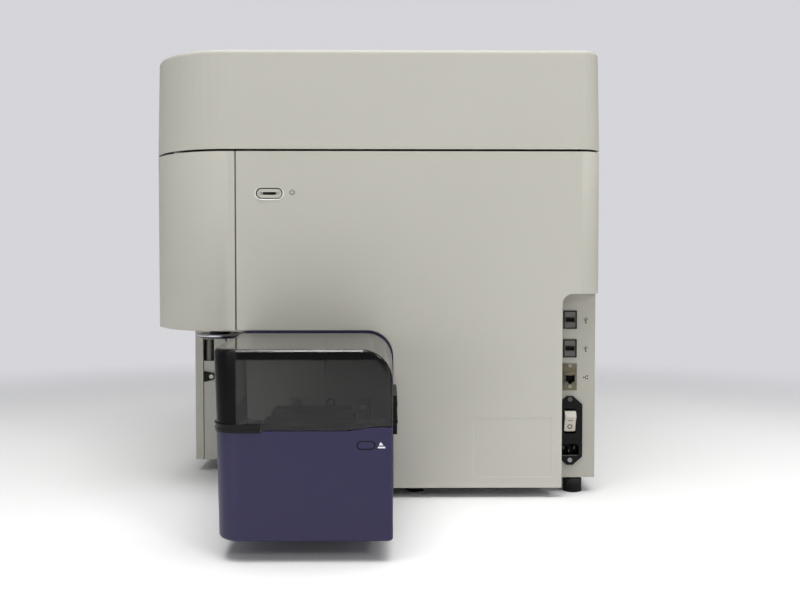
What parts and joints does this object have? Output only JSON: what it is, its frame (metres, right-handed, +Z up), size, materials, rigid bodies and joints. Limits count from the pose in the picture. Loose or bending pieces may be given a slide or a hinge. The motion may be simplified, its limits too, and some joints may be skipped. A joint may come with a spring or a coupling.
{
  "type": "flow cytometer",
  "caption": "Bench flow cytometer: boxy housing with a rear-hinged top cover, a front door, an open tube bay and a side plate loader under a smoked lid.",
  "frame": {"origin": "centre of the footprint's bounding box, loader included, on the bench surface", "axes": "+Z up, the front faces -Y, the plate loader stands out towards +X"},
  "size_m": [0.899, 0.594, 0.567],
  "materials": {
    "cover": "fine textured moulded cover, warm light grey",
    "sheet": "powder coated sheet, warm grey",
    "steel_sheet": "zinc plated sheet",
    "purple": "dark violet moulding, satin",
    "smoke": "smoked clear lid, glossy",
    "black": "black moulding",
    "gloss_black": "glossy black",
    "rubber": "black rubber",
    "steel": "ground steel",
    "plated": "nickel plated",
    "cream": "off-white rocker",
    "anodised": "dark anodised aluminium",
    "blue_anodised": "blue anodised laser head",
    "red_anodised": "red anodised laser head",
    "violet_anodised": "violet anodised laser head",
    "machined": "machined aluminium",
    "board": "green circuit board",
    "white_plastic": "white filter capsule",
    "tubing": "clear fluid line"
  },
  "bodies": {
    "housing": {"base_pan": "steel_sheet", "rubber_feet": "rubber", "right_side_cover": "cover", "left_side_cover": "cover", "front_cover": "cover", "corner_cover": "cover", "rear_panel": "sheet", "bay_liner": "sheet", "socket_panel": "sheet", "usb_ports": "black", "network_port": "plated", "power_inlet": "black", "inlet_pins": "steel", "panel_screws": "steel", "button_socket": "black", "door_catch": "black", "door_solenoid": "steel", "sample_port_head": "purple", "upper_frame": "steel_sheet", "optical_bench": "anodised", "bench_posts": "machined", "blue_laser": "blue_anodised", "red_laser": "red_anodised", "violet_laser": "violet_anodised", "steering_mirrors": "machined", "flow_cell": "machined", "collection_lens": "anodised", "detector_rings": "anodised", "detector_tubes": "machined", "filter_holders": "machined", "control_board": "board", "power_supply": "steel_sheet", "fan_frames": "black", "sheath_pump": "black", "sheath_filter": "white_plastic", "valve_manifold": "white_plastic", "fluid_lines": "tubing", "cover_hinge_lower": "steel", "loader_tub": "purple", "tub_hinge": "black", "loader_deck": "machined", "stage_rails": "steel", "stage_motor": "black", "probe_drive": "machined"},
    "top_cover": {"top_cover": "cover", "cover_hinge_upper": "steel"},
    "front_door": {"front_door": "cover"},
    "loader_lid": {"loader_lid": "smoke", "lid_grip": "gloss_black", "lid_hinge": "black"},
    "stage_carriage": {"stage_carriage": "machined"},
    "plate_tray": {"plate_tray": "anodised"},
    "lead_screw": {"lead_screw": "steel"},
    "power_button": {"power_button": "cover", "power_lens": "gloss_black"},
    "eject_button": {"eject_button": "purple"},
    "power_rocker": {"power_rocker": "cream"},
    "left_fan_rotor": {"left_fan_rotor": "black"},
    "right_fan_rotor": {"right_fan_rotor": "black"},
    "plate_probe": {"plate_probe": "steel"}
  },
  "joints": [
    {"name": "top_cover_hinge", "type": "hinge", "parent": "housing", "child": "top_cover", "pos_m": [-0.1315, 0.293, 0.4405], "axis": [-1, 0, 0], "range_deg": [0, 62]},
    {"name": "front_door_hinge", "type": "hinge", "parent": "housing", "child": "front_door", "pos_m": [-0.38225, -0.249, 0.016], "axis": [0, 0, -1], "range_deg": [0, 95]},
    {"name": "loader_lid_hinge", "type": "hinge", "parent": "housing", "child": "loader_lid", "pos_m": [0.2985, 0.0318, 0.1314], "axis": [-1, 0, 0], "range_deg": [0, 100]},
    {"name": "stage_slide", "type": "slide", "parent": "housing", "child": "stage_carriage", "axis": [-1, 0, 0], "range_m": [0, 0.245]},
    {"name": "tray_slide", "type": "slide", "parent": "stage_carriage", "child": "plate_tray", "axis": [0, 1, 0], "range_m": [-0.0315, 0.0315]},
    {"name": "lead_screw_spin", "type": "hinge", "parent": "housing", "child": "lead_screw", "pos_m": [0.1685, -0.06, 0.097], "axis": [1, 0, 0], "continuous": true},
    {"name": "power_button_press", "type": "slide", "parent": "housing", "child": "power_button", "axis": [-1, 0, 0], "range_m": [0, 0.0015], "stiffness_N_per_m": 600},
    {"name": "eject_button_press", "type": "slide", "parent": "housing", "child": "eject_button", "axis": [-1, 0, 0], "range_m": [0, 0.0015], "stiffness_N_per_m": 400},
    {"name": "power_rocker_tilt", "type": "hinge", "parent": "housing", "child": "power_rocker", "pos_m": [0.1545, 0.2597, 0.0938], "axis": [0, -1, 0], "range_deg": [0, 20]},
    {"name": "left_fan_spin", "type": "hinge", "parent": "housing", "child": "left_fan_rotor", "pos_m": [-0.2815, 0.275, 0.23], "axis": [0, 1, 0], "continuous": true},
    {"name": "right_fan_spin", "type": "hinge", "parent": "housing", "child": "right_fan_rotor", "pos_m": [-0.1765, 0.275, 0.23], "axis": [0, 1, 0], "continuous": true},
    {"name": "plate_probe_drop", "type": "slide", "parent": "housing", "child": "plate_probe", "axis": [0, 0, -1], "range_m": [0, 0.02]}
  ],
  "couplings": [
    {"joint": "lead_screw_spin", "follows": "stage_slide", "rad_per_m": 523.6}
  ]
}
